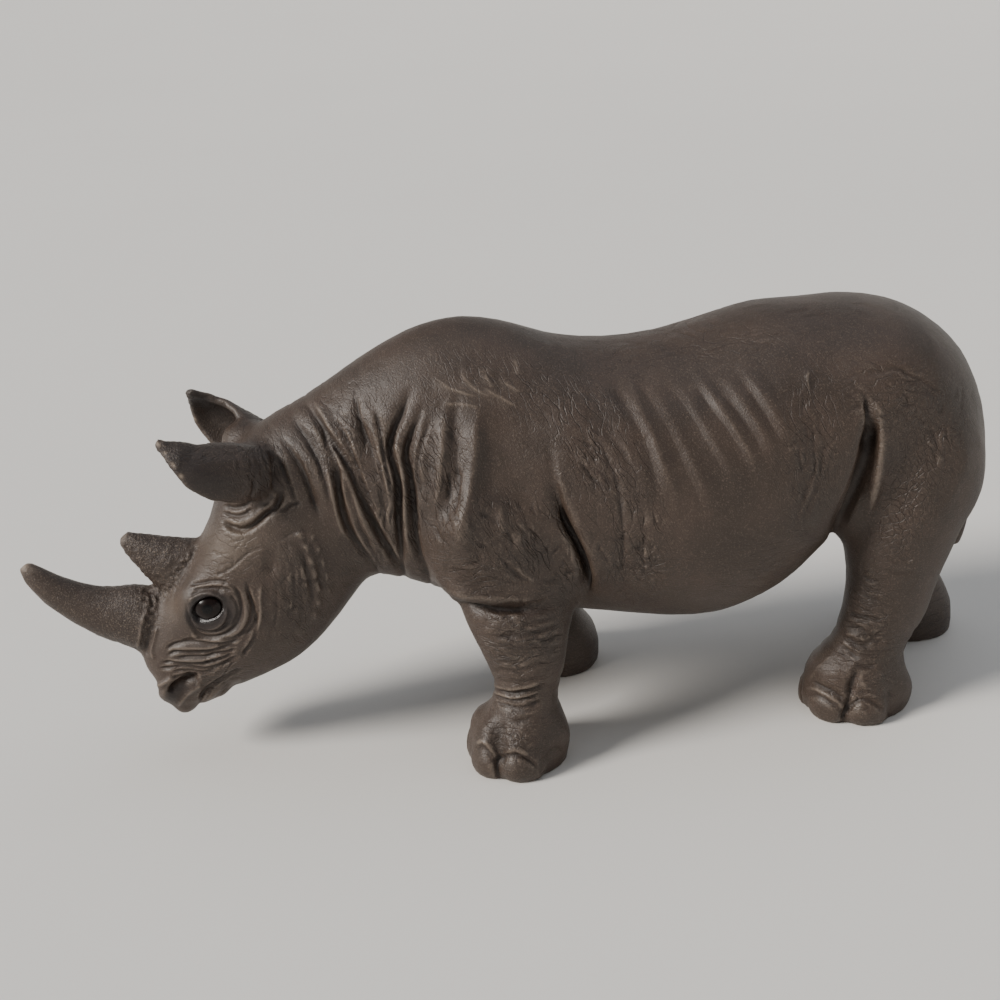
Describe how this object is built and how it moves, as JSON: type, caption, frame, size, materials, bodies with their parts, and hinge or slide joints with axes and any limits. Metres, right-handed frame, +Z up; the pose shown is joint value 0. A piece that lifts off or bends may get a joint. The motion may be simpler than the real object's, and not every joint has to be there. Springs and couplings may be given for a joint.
{
  "type": "rhinoceros figurine",
  "caption": "Moulded rhinoceros figurine walking with its head held low, two horns, cupped ears and folded skin, standing on its own flat soles.",
  "frame": {"origin": "under the middle of the figure's box, on the floor", "axes": "+X towards the tail, so the figure faces -X; -Y is its left side; +Z up"},
  "size_m": [0.1622, 0.0478, 0.0704],
  "materials": {
    "painted vinyl": "dull grey-brown paint, rubbed lighter on raised skin, with glossy dark eyes"
  },
  "bodies": {
    "root": {"rhinoceros": "painted vinyl"}
  },
  "joints": []
}
